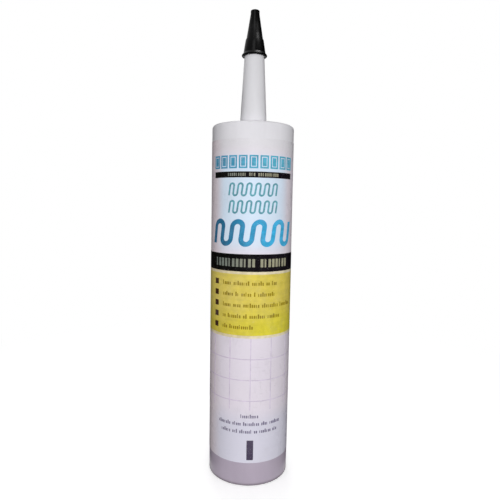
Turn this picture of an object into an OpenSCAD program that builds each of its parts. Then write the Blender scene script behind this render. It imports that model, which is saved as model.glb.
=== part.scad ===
// Caulk tube: a filled barrel with a moulded head and nozzle, a push-on cap, a plunger and a printed label.
// Z is the tube's axis, the open end stands on z = 0, and the front of the print faces -Y.
// Places along the print are arc lengths from the front centre line, positive to the right.

/* [Barrel] */
// Outer diameter of the barrel
barrel_od = 50; // [42:0.5:60]
// Wall of the barrel
barrel_wall = 1.8; // [1.4:0.1:2.4]
// Height from the open rim to the flat of the head
barrel_len = 217; // [205:1:260]
// Outside radius where the barrel turns into the head
shoulder_r = 2; // [1:0.1:3]
// Inside radius of the same corner
inner_corner_r = 1.2; // [0.6:0.1:2]
// Rounding of the open rim
rim_r = 0.5; // [0.3:0.1:0.7]
// Depth of the wider mouth that lets the plunger in
mouth_depth = 12; // [8:0.5:12.5]
// How much wider the mouth's radius is than the bore's
mouth_relief = 0.3; // [0.2:0.05:0.5]

/* [Head] */
// Thickness of the head
head_t = 2.4; // [1.8:0.1:3.2]
// Width of the flat ring that bears on a gun's front plate
bearing_w = 4; // [2:0.5:6]
// Rise of the head from that ring to the nozzle
head_rise = 1.3; // [0.6:0.1:2]
// Width of the flat land inside that the foil is welded to
seal_land_w = 3; // [2:0.25:4]

/* [Nozzle] */
// Radius of the nozzle at its foot
nozzle_base_r = 8.1; // [7:0.1:9.5]
// Radius of the nozzle just below the cap's seat
nozzle_seat_r = 6.05; // [5.6:0.05:6.8]
// Height of the cap's seat above the flat of the head
nozzle_len = 42.3; // [32:0.5:60]
// Wall of the nozzle
nozzle_wall = 1.3; // [1:0.1:1.7]
// Fillet where the nozzle meets the head
nozzle_fillet_r = 2; // [1:0.25:3]
// Width of the sloping seat that stops the cap
seat_step = 0.85; // [0.5:0.05:1.2]
// Length of the thinner tip above the seat
tip_len = 24.5; // [18:0.5:34]
// Radius of the closed tip at its end
tip_end_r = 1.4; // [1.1:0.05:1.8]
// Wall of the tip
tip_wall = 0.8; // [0.6:0.05:1]
// Thickness of the closed end that is cut off before use
tip_end_t = 1.2; // [0.8:0.1:2]

/* [Cap] */
// Clearance between the nozzle and the cap
cap_gap = 0.15; // [0.1:0.05:0.3]
// Wall of the cap's upper cone
cap_wall = 1.15; // [0.8:0.05:1.35]
// Wall of the thicker grip collar
grip_wall = 1.5; // [1.4:0.05:1.8]
// Height of the grip collar above the seat
grip_len = 9.2; // [6:0.1:13]
// Height over which the collar steps in to the upper cone
grip_step_h = 0.9; // [0.5:0.1:1.5]
// How far the cap's skirt reaches below the seat
skirt_len = 0.5; // [0.3:0.1:1.5]
// How far the flared rim stands out past the skirt's inner wall
flare_w = 1.5; // [1.2:0.05:2]
// Thickness of the flared rim
flare_t = 1.3; // [1:0.1:2]
// Fillet from the flared rim up to the collar
flare_fillet_r = 1.3; // [0.8:0.1:1.8]
// Room between the nozzle's end and the cap's end wall
tip_room = 0.5; // [0.3:0.1:1]
// Thickness of the cap's end wall
cap_end_t = 1.7; // [1:0.1:2.5]
// Rounding of the cap's end
cap_end_r = 0.6; // [0.3:0.1:0.9]

/* [Plunger] */
// How far the plunger lies inside the open rim
plunger_recess = 13; // [12.5:0.5:20]
// Length of the plunger's skirt with its lips
plunger_len = 19.2; // [15:0.2:24]
// Wall of the plunger's skirt
plunger_wall = 1.4; // [1:0.1:1.8]
// Thickness of the plunger's face
plunger_face_t = 1.6; // [1.2:0.1:2.4]
// Running clearance of the wiper lips in the bore
lip_gap = 0.08; // [0.05:0.01:0.1]
// Height of each lip's edge
lip_h = 1.6; // [1:0.1:2.4]
// Width of the front lip's thin edge
lip_edge = 0.4; // [0.3:0.05:0.7]
// Length of the slope from the skirt out to each lip
lip_slope = 2.4; // [1.5:0.1:3.5]
// Clearance of the skirt between the lips
skirt_gap = 0.8; // [0.4:0.1:1.2]
// Depth of the groove that lets the front lip spread
groove_depth = 1.6; // [0.8:0.1:2.2]
// Width of that groove at its mouth
groove_w = 1.6; // [1:0.1:2.4]
// Number of gussets behind the face
gusset_n = 8; // [4:1:12]
// Reach of each gusset from the skirt
gusset_reach = 3; // [2:0.25:5]
// Height of each gusset
gusset_h = 9; // [5:0.5:12]
// Thickness of each gusset
gusset_t = 1.2; // [0.8:0.1:2]

/* [Seal and filling] */
// Thickness of the foil seal
foil_t = 0.2; // [0.1:0.05:0.3]
// Clearance of the sealant from the walls and the plunger
fill_gap = 0.05; // [0.02:0.01:0.1]

/* [Label] */
// Thickness of the label film
film_t = 0.12; // [0.1:0.01:0.2]
// Height of the label's lower edge above the open rim
label_base = 14.5; // [10:0.5:20]
// Distance of the label's upper edge below the flat of the head
label_head_gap = 10; // [6:0.5:16]
// Width of the lap at the back
lap_w = 7; // [4:0.5:12]
// Thickness of an ink layer
ink_t = 0.1; // [0.08:0.01:0.15]
// How far the print's centre line lies to the right of the front
print_shift = 0.7; // [-3:0.1:3]

/* [Print above the panel] */
// Half the width of the tile row and the thin stripe
row_half_w = 27.3; // [20:0.1:31]
// Bare film above the tile row
head_space = 9.5; // [6:0.5:14]
// Height of the tile row
tile_h = 7.5; // [5:0.1:10]
// Number of tiles in the row
tile_n = 9; // [6:1:12]
// Gap between tiles
tile_gap = 1.1; // [0.6:0.1:2]
// Width of the coloured frame of a tile
tile_frame = 1.3; // [0.8:0.1:1.6]
// Gap from the tile row to the thin stripe
stripe_gap = 1.8; // [1:0.1:3]
// Height of the thin stripe
stripe_h = 3.4; // [2.4:0.1:5]
// Height of the cream marks on the stripe
stripe_mark_h = 1.8; // [1.2:0.1:2.2]
// Pitch of those marks
stripe_mark_pitch = 1.3; // [1:0.05:1.6]
// Gap from the thin stripe to the first fine bead
fine_gap = 2.8; // [1.5:0.1:5]
// Height of each fine bead row
fine_h = 8; // [5:0.1:9]
// Width of a fine bead
fine_w = 1.1; // [0.7:0.05:1.4]
// Distance between the legs of a fine bead
fine_pitch = 2.6; // [2.2:0.1:3.2]
// Number of bends in a fine bead
fine_turns = 11; // [7:2:15]
// Gap between the fine bead rows
fine_row_gap = 2; // [1:0.1:3]
// Gap from the fine beads to the bold bead
bold_gap = 3; // [2:0.1:4.5]
// Height of the bold bead row
bold_h = 16; // [12:0.5:18]
// Width of the bold bead
bold_w = 2.9; // [2:0.1:3.4]
// Distance between the legs of the bold bead
bold_pitch = 6.4; // [5.6:0.1:7.5]
// Number of bends in the bold bead
bold_turns = 8; // [4:1:9]
// Slant of the bead rows, in degrees
bead_slant = 8; // [0:1:15]
// Gap from the bold bead to the black band
band_gap = 4.3; // [3:0.1:6]
// Height of the black band
band_h = 10.2; // [8:0.1:13]
// Height of the cream marks on the band
band_mark_h = 4.8; // [3:0.1:6]
// Pitch of those marks
band_mark_pitch = 2.42; // [2:0.02:2.7]
// Height of the cream rule under the band and under the panel
rule_h = 1.6; // [0.8:0.1:2.4]

/* [Yellow panel] */
// Height of the yellow panel
panel_h = 36.3; // [33:0.1:44]
// Number of bulleted lines
line_n = 5; // [3:1:5]
// Distance between the lines
line_pitch = 6.5; // [5:0.05:7]
// Distance of the first line's middle below the panel's upper edge
first_line = 5.2; // [4:0.1:8]
// Side of a bullet
bullet = 3.3; // [2:0.1:4]
// Distance of the bullets' left side from the print's centre line
bullet_left = 25.4; // [22:0.1:28]
// Distance of the lines' start from the print's centre line
line_left = 18.2; // [15:0.1:20]
// Height of a small mark in the lines
line_mark_h = 1.75; // [1:0.05:2.2]
// Pitch of those marks
line_mark_pitch = 1.22; // [0.9:0.02:1.4]

/* [Grid and foot of the label] */
// Pitch of the tile grid
grid_pitch = 12.7; // [9:0.1:16]
// Width of a grid line
grid_line_w = 0.55; // [0.3:0.05:0.9]
// Height of the dark bar at the foot
bar_h = 12.2; // [8:0.1:13]
// Width of the dark bar
bar_w = 4; // [2.5:0.1:6]
// Distance of the dark bar's middle from the print's centre line
bar_offset = 0.4; // [-3:0.1:3]
// Gap from the label's lower edge to the dark bar
bar_gap = 1.9; // [1:0.1:4]
// Gap from the dark bar to the small rows
small_gap = 4.4; // [3:0.1:6]
// Distance between the small rows
small_pitch = 4.7; // [3.6:0.1:5.5]
// Height of a mark in the small rows
small_mark_h = 1.6; // [1:0.1:2]
// Pitch of those marks
small_mark_pitch = 1.1; // [0.8:0.05:1.3]

/* [Hidden] */
$fn = 240;

barrel_r = barrel_od / 2;
bore_r = barrel_r - barrel_wall;
mouth_r = bore_r + mouth_relief;

head_in_z = barrel_len - head_t;
bearing_in_r = barrel_r - shoulder_r - bearing_w;
nozzle_root_z = barrel_len + head_rise;
nozzle_bore_r = nozzle_base_r - nozzle_wall;
land_r = nozzle_bore_r + seal_land_w;
land_z = head_in_z + head_rise;
seat_z = barrel_len + nozzle_len;
tip_base_r = nozzle_seat_r - seat_step;
tip_base_z = seat_z + seat_step;
tip_z = seat_z + tip_len;
nozzle_bore_end_r = nozzle_seat_r - nozzle_wall;

cap_mouth_z = seat_z - skirt_len;
cap_mouth_r = nozzle_r(cap_mouth_z) + cap_gap;
flare_r = cap_mouth_r + flare_w;
grip_z = seat_z + grip_len;
cap_in_z = tip_z + tip_room;
cap_top_z = cap_in_z + cap_end_t;
cap_end_out_r = tip_end_r + cap_gap + cap_wall;

lip_r = bore_r - lip_gap;
skirt_r = bore_r - skirt_gap;
skirt_in_r = skirt_r - plunger_wall;
face_top = plunger_len - groove_depth;
face_under = face_top - plunger_face_t;
groove_in_r = lip_r - groove_w;
lip_front_z = plunger_recess + plunger_len;
face_edge = face_top + groove_depth / 2;

foil_r = (nozzle_bore_r + land_r) / 2;

film_r = barrel_r + film_t;
label_top = barrel_len - label_head_gap;
lap_half_deg = arc_deg(lap_w / 2);
back_deg = 90;
front_deg = 270 + arc_deg(print_shift);

tile_z = label_top - head_space - tile_h;
stripe_z = tile_z - stripe_gap - stripe_h;
fine_upper_z = stripe_z - fine_gap - fine_h;
fine_lower_z = fine_upper_z - fine_row_gap - fine_h;
bold_z = fine_lower_z - bold_gap - bold_h;
band_z = bold_z - band_gap - band_h;
upper_rule_z = band_z - rule_h;
panel_z = upper_rule_z - panel_h;
lower_rule_z = panel_z - rule_h;
bar_z = label_base + bar_gap;
small_z = bar_z + bar_h + small_gap;
grid_foot_z = small_z + 3 * small_pitch;

// Shares of the pitch that wide and narrow marks take.
wide_mark = 0.66;
narrow_mark = 0.4;
// Height of a tall mark over that of the others.
tall_mark = 1.45;
// Beads stand off the film by this, because their flat facets lie a little under the true arc.
bead_lift = 0.05;
fine_steps = 6;
bold_steps = 12;
arc_steps = 8;

// Angle of an arc length on the barrel.
function arc_deg(s) = s / barrel_r * 180 / PI;

// Radius of the nozzle's outer wall at a height.
function nozzle_r(z) =
    let (foot_z = nozzle_root_z + nozzle_fillet_r)
    nozzle_base_r + (nozzle_seat_r - nozzle_base_r) * (z - foot_z) / (seat_z - foot_z);

// Radius of the thin tip's outer wall at a height.
function tip_r(z) = tip_base_r + (tip_end_r - tip_base_r) * (z - tip_base_z) / (tip_z - tip_base_z);

// Points of an arc about [x, y] from one angle to another.
function arc(x, y, r, from, to) =
    [for (i = [0 : arc_steps]) let (a = from + (to - from) * i / arc_steps) [x + r * cos(a), y + r * sin(a)]];

module cartridge() {
    color([0.87, 0.86, 0.88])
    rotate_extrude() {
        difference() {
            cartridge_outline();
            cartridge_hollow();
        }
    }
}

// Outside of the barrel, head and nozzle, as a half section.
module cartridge_outline() {
    polygon(concat(
        [[0, 0], [barrel_r - rim_r, 0]],
        arc(barrel_r - rim_r, rim_r, rim_r, -90, 0),
        arc(barrel_r - shoulder_r, barrel_len - shoulder_r, shoulder_r, 0, 90),
        [[bearing_in_r, barrel_len]],
        arc(nozzle_base_r + nozzle_fillet_r, nozzle_root_z + nozzle_fillet_r, nozzle_fillet_r, 270, 180),
        [[nozzle_seat_r, seat_z], [tip_base_r, tip_base_z]],
        arc(tip_end_r - tip_wall / 2, tip_z - tip_wall / 2, tip_wall / 2, 0, 90),
        [[0, tip_z]]
    ));
}

// Inside of the barrel and nozzle, open at the bottom and closed at the tip.
module cartridge_hollow() {
    polygon(concat(
        [
            [0, -1],
            [mouth_r + rim_r, -1],
            [mouth_r + rim_r, 0],
            [mouth_r, rim_r],
            [mouth_r, mouth_depth],
            [bore_r, mouth_depth + mouth_relief]
        ],
        arc(bore_r - inner_corner_r, head_in_z - inner_corner_r, inner_corner_r, 0, 90),
        [
            [bearing_in_r, head_in_z],
            [land_r, land_z],
            [nozzle_bore_r, land_z],
            [nozzle_bore_end_r, seat_z],
            [tip_base_r - tip_wall, tip_base_z],
            [tip_end_r - tip_wall, tip_z - tip_end_t],
            [0, tip_z - tip_end_t]
        ]
    ));
}

module nozzle_cap() {
    color([0.07, 0.07, 0.08])
    rotate_extrude() {
        difference() {
            cap_outline();
            cap_hollow();
        }
    }
}

// Outside of the cap: flared rim, grip collar, step and upper cone.
module cap_outline() {
    edge_r = flare_t / 2;
    collar_foot_z = cap_mouth_z + flare_t + flare_fillet_r;
    collar_foot_r = tip_r(collar_foot_z) + cap_gap + grip_wall;
    collar_top_r = tip_r(grip_z) + cap_gap + grip_wall;
    cone_foot_r = tip_r(grip_z + grip_step_h) + cap_gap + cap_wall;
    flare_turn = 45;
    polygon(concat(
        [[0, cap_mouth_z]],
        arc(flare_r - edge_r, cap_mouth_z + edge_r, edge_r, -90, flare_turn),
        arc(collar_foot_r + flare_fillet_r, collar_foot_z, flare_fillet_r, 180 + flare_turn, 180),
        [
            [collar_top_r, grip_z],
            [cone_foot_r, grip_z + grip_step_h],
            [cap_end_out_r, tip_z]
        ],
        arc(cap_end_out_r - cap_end_r, cap_top_z - cap_end_r, cap_end_r, 0, 90),
        [[0, cap_top_z]]
    ));
}

// Inside of the cap: the nozzle's own outline with the clearance all round.
module cap_hollow() {
    polygon([
        [0, cap_mouth_z - 1],
        [cap_mouth_r, cap_mouth_z - 1],
        [cap_mouth_r, cap_mouth_z],
        [nozzle_seat_r + cap_gap, seat_z + cap_gap],
        [tip_base_r + cap_gap, tip_base_z + cap_gap],
        [tip_end_r + cap_gap, tip_z],
        [tip_end_r + cap_gap, cap_in_z],
        [0, cap_in_z]
    ]);
}

module plunger() {
    color([0.9, 0.9, 0.87])
    translate([0, 0, plunger_recess])
    union() {
        rotate_extrude() plunger_section();
        for (i = [0 : gusset_n - 1])
            rotate(360 * (i + 0.5) / gusset_n) gusset();
    }
}

// Half section of the cup: rear lip, skirt, front lip with its groove, and the domed face.
module plunger_section() {
    polygon([
        [skirt_in_r, 0],
        [lip_r - rim_r, 0],
        [lip_r, rim_r],
        [lip_r, lip_h],
        [skirt_r, lip_h + lip_slope],
        [skirt_r, plunger_len - lip_h - lip_slope],
        [lip_r, plunger_len - lip_h],
        [lip_r, plunger_len],
        [lip_r - lip_edge, plunger_len],
        [(lip_r + groove_in_r) / 2, face_top],
        [groove_in_r, face_edge],
        [land_r, face_edge + head_rise],
        [0, face_edge + head_rise],
        [0, face_under + head_rise],
        [land_r, face_under + head_rise],
        [skirt_in_r - plunger_wall, face_under],
        [skirt_in_r, face_under - plunger_wall]
    ]);
}

// Web between the skirt and the back of the face.
module gusset() {
    root = plunger_wall / 2;
    rotate([90, 0, 0])
    translate([0, 0, -gusset_t / 2])
    linear_extrude(gusset_t)
    polygon([
        [skirt_in_r + root, face_under + root],
        [skirt_in_r - gusset_reach - root, face_under + root],
        [skirt_in_r - gusset_reach, face_under - root],
        [skirt_in_r, face_under - gusset_h],
        [skirt_in_r + root, face_under - gusset_h]
    ]);
}

module foil_seal() {
    color([0.78, 0.78, 0.8])
    translate([0, 0, land_z - foil_t])
    cylinder(r = foil_r, h = foil_t);
}

// The filling takes its two ends from the plunger's face and the head.
module sealant() {
    front = plunger_recess + face_edge;
    color([0.93, 0.92, 0.88])
    rotate_extrude()
    polygon(concat(
        [
            [0, front + head_rise + fill_gap],
            [land_r, front + head_rise + fill_gap],
            [groove_in_r, front + fill_gap],
            [groove_in_r, lip_front_z + fill_gap],
            [bore_r - fill_gap, lip_front_z + fill_gap]
        ],
        arc(bore_r - inner_corner_r, head_in_z - inner_corner_r, inner_corner_r - fill_gap, 0, 90),
        [
            [bearing_in_r, head_in_z - fill_gap],
            [land_r, land_z - fill_gap],
            [foil_r + fill_gap, land_z - fill_gap],
            [foil_r + fill_gap, land_z - foil_t - fill_gap],
            [0, land_z - foil_t - fill_gap]
        ]
    ));
}

// Thin layer on the barrel between two angles and two heights.
module shell(from, to, low, high, r, t) {
    rotate_extrude(start = from, angle = to - from)
    translate([r, low])
    square([t, high - low]);
}

// One turn of film, with a second layer at the lap that is welded into the first.
module label() {
    weld = film_t / 2;
    color([0.91, 0.89, 0.93])
    union() {
        rotate_extrude()
        translate([barrel_r, label_base])
        square([film_t, label_top - label_base]);
        shell(back_deg - lap_half_deg, back_deg + lap_half_deg, label_base, label_top,
            film_r - weld, film_t + weld);
    }
}

// Ink between two places on the front, in a lower or an upper layer.
module patch(s0, s1, low, high, layer = 0) {
    shell(front_deg + arc_deg(s0), front_deg + arc_deg(s1), low, high, film_r + layer * ink_t, ink_t);
}

// Ink all the way round, one step higher where it crosses the lap.
module ring(low, high) {
    shell(back_deg + lap_half_deg, back_deg - lap_half_deg + 360, low, high, film_r, ink_t);
    shell(back_deg - lap_half_deg, back_deg + lap_half_deg, low, high, film_r + film_t, ink_t);
}

// A row of small marks that stand for words. The list says how many marks each word has.
module mark_row(s0, low, height, pitch, words, layer = 0, tall = 1) {
    for (k = [0 : len(words) - 1], i = [0 : words[k] - 1]) {
        s = s0 + pitch * (slots_before(words, k) + i);
        w = pitch * ((i * 3 + k) % 4 == 0 ? narrow_mark : wide_mark);
        h = height * ((i * 2 + k * 3 + words[k]) % 5 == 0 ? tall : 1);
        patch(s, s + w, low, low + h, layer);
    }
}

// Marks and spaces in a row before one of its words.
function slots_before(words, k) = k == 0 ? 0 : slots_before(words, k - 1) + words[k - 1] + 1;

// Length of a row of marks.
function row_w(words, pitch) = pitch * (slots_before(words, len(words)) - 1);

// Edges of a bead: upright legs joined by half circles, as pairs of left and right points.
function bead_edges(s0, low, pitch, height, width, turns, steps) =
    let (
        bend = pitch / 2,
        mid = low + height / 2,
        leg = height / 2 - bend - width / 2,
        last = s0 + pitch * turns,
        up_end = turns % 2 == 0 ? 1 : -1
    )
    concat(
        [[[s0 - width / 2, mid - leg - bend], [s0 + width / 2, mid - leg - bend]]],
        [
            for (i = [0 : turns - 1], k = [0 : steps])
            let (
                up = i % 2 == 0 ? 1 : -1,
                a = 180 - 180 * k / steps,
                x = s0 + pitch * (i + 0.5),
                out = bend + up * width / 2,
                in = bend - up * width / 2
            )
            [
                [x + out * cos(a), mid + up * (leg + out * sin(a))],
                [x + in * cos(a), mid + up * (leg + in * sin(a))]
            ]
        ],
        [[
            [last - up_end * width / 2, mid + up_end * (leg + bend)],
            [last + up_end * width / 2, mid + up_end * (leg + bend)]
        ]]
    );

// Point of the print on the barrel, leaning with the slant about a middle height.
function on_barrel(p, mid, r) =
    let (a = front_deg + arc_deg(p[0] + (p[1] - mid) * tan(bead_slant)))
    [r * cos(a), r * sin(a), p[1]];

// A drawn bead of sealant, wrapped round the barrel as one thin ribbon about the print's centre line.
module bead(low, pitch, height, width, turns, steps) {
    edges = bead_edges(-pitch * turns / 2, low, pitch, height, width, turns, steps);
    mid = low + height / 2;
    in_r = film_r + bead_lift;
    out_r = in_r + ink_t;
    points = [
        for (e = edges)
        each [
            on_barrel(e[0], mid, in_r),
            on_barrel(e[1], mid, in_r),
            on_barrel(e[1], mid, out_r),
            on_barrel(e[0], mid, out_r)
        ]
    ];
    last = 4 * (len(edges) - 1);
    sides = [
        for (i = [0 : len(edges) - 2], k = [0 : 3])
        let (a = 4 * i + k, b = 4 * i + (k + 1) % 4)
        each [[b, b + 4, a + 4], [b, a + 4, a]]
    ];
    ends = [[3, 2, 1], [3, 1, 0], [last, last + 1, last + 2], [last, last + 2, last + 3]];
    polyhedron(points, concat(ends, sides));
}

module print_black() {
    color([0.08, 0.07, 0.09]) {
        ring(band_z, band_z + band_h);
        patch(-row_half_w, row_half_w, stripe_z, stripe_z + stripe_h);
    }
}

module print_yellow() {
    color([0.86, 0.79, 0.38])
    ring(panel_z, upper_rule_z);
}

// Rules above and below the panel, and the marks on both black fields.
module print_cream() {
    band_words = [11, 8];
    stripe_words = [9, 3, 10];
    color([0.92, 0.88, 0.76]) {
        ring(upper_rule_z, band_z);
        ring(lower_rule_z, panel_z);
        mark_row(-row_w(band_words, band_mark_pitch) / 2, band_z + (band_h - band_mark_h) / 2,
            band_mark_h, band_mark_pitch, band_words, 1);
        mark_row(-row_w(stripe_words, stripe_mark_pitch) / 2, stripe_z + (stripe_h - stripe_mark_h) / 2,
            stripe_mark_h, stripe_mark_pitch, stripe_words, 1);
    }
}

// Middle height of a bulleted line, counted from the top.
function line_z(i) = upper_rule_z - first_line - i * line_pitch;

module print_brown() {
    color([0.26, 0.15, 0.07])
    for (i = [0 : line_n - 1])
        patch(-bullet_left, -bullet_left + bullet, line_z(i) - bullet / 2, line_z(i) + bullet / 2, 1);
}

module print_olive() {
    words = [[5, 8, 6, 2, 3], [6, 2, 5, 1, 9], [5, 4, 8, 9, 8], [2, 7, 2, 8, 7], [3, 12]];
    color([0.6, 0.52, 0.14])
    for (i = [0 : line_n - 1])
        mark_row(-line_left, line_z(i) - line_mark_h * tall_mark / 2, line_mark_h, line_mark_pitch,
            words[i], 1, tall_mark);
}

module print_teal() {
    color([0.36, 0.62, 0.68]) {
        bead(fine_upper_z, fine_pitch, fine_h, fine_w, fine_turns, fine_steps);
        bead(fine_lower_z, fine_pitch, fine_h, fine_w, fine_turns, fine_steps);
    }
}

// Row of square tiles at the top and the bold bead under it.
module print_blue() {
    tile_w = (2 * row_half_w - (tile_n - 1) * tile_gap) / tile_n;
    color([0.2, 0.47, 0.66]) {
        for (i = [0 : tile_n - 1])
            tile(-row_half_w + i * (tile_w + tile_gap), tile_w);
        bead(bold_z, bold_pitch, bold_h, bold_w, bold_turns, bold_steps);
    }
}

// One tile: a square frame with a smaller square in its middle.
module tile(s, w) {
    core_w = (w - 2 * tile_frame) / 2;
    core_s = s + (w - core_w) / 2;
    core_z = tile_z + tile_frame + core_w / 2;
    difference() {
        patch(s, s + w, tile_z, tile_z + tile_h);
        shell(front_deg + arc_deg(s + tile_frame), front_deg + arc_deg(s + w - tile_frame),
            tile_z + tile_frame, tile_z + tile_h - tile_frame, film_r - ink_t, 3 * ink_t);
    }
    patch(core_s, core_s + core_w, core_z, tile_z + tile_h - tile_frame - core_w / 2);
}

// Dark bar at the foot and the small rows above it.
module print_slate() {
    rows = [[6, 3, 7, 2, 7, 3], [8, 5, 9, 4, 7], [10]];
    color([0.28, 0.25, 0.34]) {
        patch(bar_offset - bar_w / 2, bar_offset + bar_w / 2, bar_z, bar_z + bar_h);
        for (i = [0 : len(rows) - 1])
            mark_row(-row_w(rows[i], small_mark_pitch) / 2, small_z + i * small_pitch,
                small_mark_h, small_mark_pitch, rows[i], 0, tall_mark);
    }
}

// Pale grid of tiles between the panel and the small rows, all the way round to the lap.
module print_grid() {
    rows = floor((lower_rule_z - grid_foot_z) / grid_pitch);
    side_n = floor((PI * barrel_r - lap_w / 2 - grid_line_w) / grid_pitch);
    half = grid_line_w / 2;
    color([0.77, 0.72, 0.84]) {
        for (k = [-side_n : side_n])
            patch(k * grid_pitch - half, k * grid_pitch + half, grid_foot_z, lower_rule_z);
        for (k = [1 : rows])
            ring(lower_rule_z - k * grid_pitch - half, lower_rule_z - k * grid_pitch + half);
    }
}

cartridge();
nozzle_cap();
plunger();
foil_seal();
sealant();
label();
print_black();
print_yellow();
print_cream();
print_brown();
print_olive();
print_teal();
print_blue();
print_slate();
print_grid();
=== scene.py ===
# A caulk tube: a moulded barrel with its head and nozzle, a push-on cap, a plunger, the filling and a
# printed film. Z is the tube's axis, the open end stands on the floor, and the front of the print faces -Y.
import math

import bmesh
import bpy
from mathutils import Matrix, Vector


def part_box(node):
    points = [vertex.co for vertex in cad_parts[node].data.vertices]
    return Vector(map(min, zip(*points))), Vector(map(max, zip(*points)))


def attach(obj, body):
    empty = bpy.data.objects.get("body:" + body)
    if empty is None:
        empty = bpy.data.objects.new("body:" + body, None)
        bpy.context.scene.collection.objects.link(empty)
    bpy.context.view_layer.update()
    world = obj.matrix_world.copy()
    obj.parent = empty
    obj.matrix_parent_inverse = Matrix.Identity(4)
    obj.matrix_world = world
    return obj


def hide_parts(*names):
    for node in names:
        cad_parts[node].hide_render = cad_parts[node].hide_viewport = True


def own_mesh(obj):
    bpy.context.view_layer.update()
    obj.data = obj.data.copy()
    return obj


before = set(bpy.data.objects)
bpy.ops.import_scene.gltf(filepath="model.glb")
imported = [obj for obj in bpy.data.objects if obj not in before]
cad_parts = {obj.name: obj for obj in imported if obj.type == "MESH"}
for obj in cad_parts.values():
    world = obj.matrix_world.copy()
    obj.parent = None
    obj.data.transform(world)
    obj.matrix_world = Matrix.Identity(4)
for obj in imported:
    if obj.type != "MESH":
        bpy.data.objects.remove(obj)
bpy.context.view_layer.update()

# The barrel, its head and its long nozzle are one moulding in natural polyethylene. The head closes the top,
# the nozzle is closed at its tip until it is cut, and the open end has a slightly wider mouth for the plunger.
# Where the tube is filled the paste shows through as white. The empty end is painted darker and more lilac,
# which is painted shade: the dark hollow seen through the wall.
barrel_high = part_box("cartridge")[1]
barrel_r = barrel_high.x
bore_r = barrel_r - 0.0018
mouth_r = bore_r + 0.0003
mouth_depth = 0.012
rim_r = 0.0005
shoulder_z = 0.217
shoulder_r = 0.002
head_t = 0.0024
head_rise = 0.0013
bearing_in_r = 0.019
seal_land_r = 0.0098
inner_corner_r = 0.0012
nozzle_foot_r = 0.0082
nozzle_fillet_r = 0.002
nozzle_wall = 0.0013
seat_z = 0.2593
seat_r = 0.00605
seat_step = 0.00085
tip_z = barrel_high.z
tip_end_r = 0.0014
tip_wall = 0.0008
tip_end_t = 0.0012
turn_steps = 192
sharp_bend = math.radians(32)


def turned(name, outline, corners):
    """A solid of revolution: a section drawn as radius and height, its corners rounded, spun about Z."""
    bm = bmesh.new()
    verts = [bm.verts.new((r, 0, z)) for r, z in outline]
    bm.faces.new(verts)
    for index, size in corners.items():
        bmesh.ops.bevel(bm, geom=[verts[index]], offset=size, offset_type="OFFSET", affect="VERTICES",
                        segments=8, profile=0.5, material=-1)
    bmesh.ops.delete(bm, geom=bm.faces[:], context="FACES_ONLY")
    axis_edges = [e for e in bm.edges if all(v.co.x < 1e-6 for v in e.verts)]
    bmesh.ops.delete(bm, geom=axis_edges, context="EDGES")
    bmesh.ops.spin(bm, geom=bm.verts[:] + bm.edges[:], cent=(0, 0, 0), axis=(0, 0, 1),
                   angle=math.tau, steps=turn_steps, use_merge=True)
    return finished(name, bm)


def finished(name, bm):
    """Closes the poles, turns the faces outwards and makes the object, smooth but for its sharp edges."""
    bmesh.ops.remove_doubles(bm, verts=bm.verts, dist=1e-6)
    bmesh.ops.recalc_face_normals(bm, faces=bm.faces)
    mesh = bpy.data.meshes.new(name)
    bm.to_mesh(mesh)
    bm.free()
    mesh.shade_smooth()
    mesh.set_sharp_from_angle(angle=sharp_bend)
    piece = bpy.data.objects.new(name, mesh)
    bpy.context.scene.collection.objects.link(piece)
    return piece


barrel = turned(
    "barrel_and_nozzle",
    [
        (0, tip_z),
        (tip_end_r, tip_z),
        (seat_r - seat_step, seat_z + seat_step),
        (seat_r, seat_z),
        (nozzle_foot_r, shoulder_z + head_rise),
        (bearing_in_r, shoulder_z),
        (barrel_r, shoulder_z),
        (barrel_r, 0),
        (mouth_r + rim_r, 0),
        (mouth_r, rim_r),
        (mouth_r, mouth_depth),
        (bore_r, mouth_depth + mouth_r - bore_r),
        (bore_r, shoulder_z - head_t),
        (bearing_in_r, shoulder_z - head_t),
        (seal_land_r, shoulder_z - head_t + head_rise),
        (nozzle_foot_r - nozzle_wall, shoulder_z - head_t + head_rise),
        (seat_r - nozzle_wall, seat_z),
        (seat_r - seat_step - tip_wall, seat_z + seat_step),
        (tip_end_r - tip_wall, tip_z - tip_end_t),
        (0, tip_z - tip_end_t),
    ],
    {1: tip_wall / 2, 4: nozzle_fillet_r, 6: shoulder_r, 7: rim_r, 12: inner_corner_r},
)


def material(name):
    """A material with its node tree and its Principled BSDF."""
    made = bpy.data.materials.new(name)
    made.use_nodes = True
    return made, made.node_tree, made.node_tree.nodes["Principled BSDF"]


def effect(name, inputs, outputs):
    """An empty node group: its tree, the node that brings its inputs in and the one that takes its outputs."""
    tree = bpy.data.node_groups.new(name, "ShaderNodeTree")
    for label, value in inputs.items():
        kind = "NodeSocketFloat" if isinstance(value, (int, float)) else "NodeSocketColor"
        tree.interface.new_socket(label, in_out="INPUT", socket_type=kind).default_value = value
    for label, kind in outputs.items():
        tree.interface.new_socket(label, in_out="OUTPUT", socket_type="NodeSocket" + kind)
    return tree, tree.nodes.new("NodeGroupInput"), tree.nodes.new("NodeGroupOutput")


def placed(tree, group, **values):
    """The effect as a node in a tree, with its own values."""
    made = tree.nodes.new("ShaderNodeGroup")
    made.node_tree = group
    for label, value in values.items():
        made.inputs[label].default_value = value
    return made


def fed(tree, sockets, values):
    """Gives each socket its value: a link where the value is a socket, and otherwise a number or a colour."""
    for socket, value in zip(sockets, values):
        if isinstance(value, bpy.types.NodeSocket):
            tree.links.new(value, socket)
        else:
            socket.default_value = value


def number(tree, operation, a, b=0.5, c=0.0, clamp=False):
    """A sum on numbers or sockets, and its result."""
    made = tree.nodes.new("ShaderNodeMath")
    made.operation = operation
    made.use_clamp = clamp
    fed(tree, made.inputs, (a, b, c))
    return made.outputs[0]


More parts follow.
